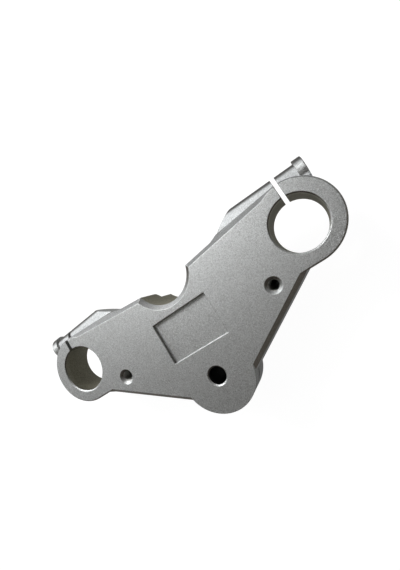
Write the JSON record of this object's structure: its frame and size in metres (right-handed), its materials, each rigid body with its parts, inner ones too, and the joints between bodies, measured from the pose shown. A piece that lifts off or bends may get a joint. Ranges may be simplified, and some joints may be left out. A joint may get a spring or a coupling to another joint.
{
  "type": "motorcycle triple clamp",
  "caption": "Lower motorcycle fork clamp: a flat forged yoke with split clamp rings for the fork tubes, a stem bore at the rounded end, threaded holes and a round notch.",
  "frame": {"origin": "steering stem axis at the foot of the hub that the clamp lies on", "axes": "+X from the left to the right fork tube as seen on the machined face, +Y from the stem towards the fork tubes, +Z along the stem, out of the machined face"},
  "size_m": [0.3316, 0.1547, 0.0635],
  "materials": {
    "clamp_body": "fine bead-blasted and clear anodised, satin"
  },
  "bodies": {
    "root": {"clamp_body": "clamp_body"}
  },
  "joints": []
}
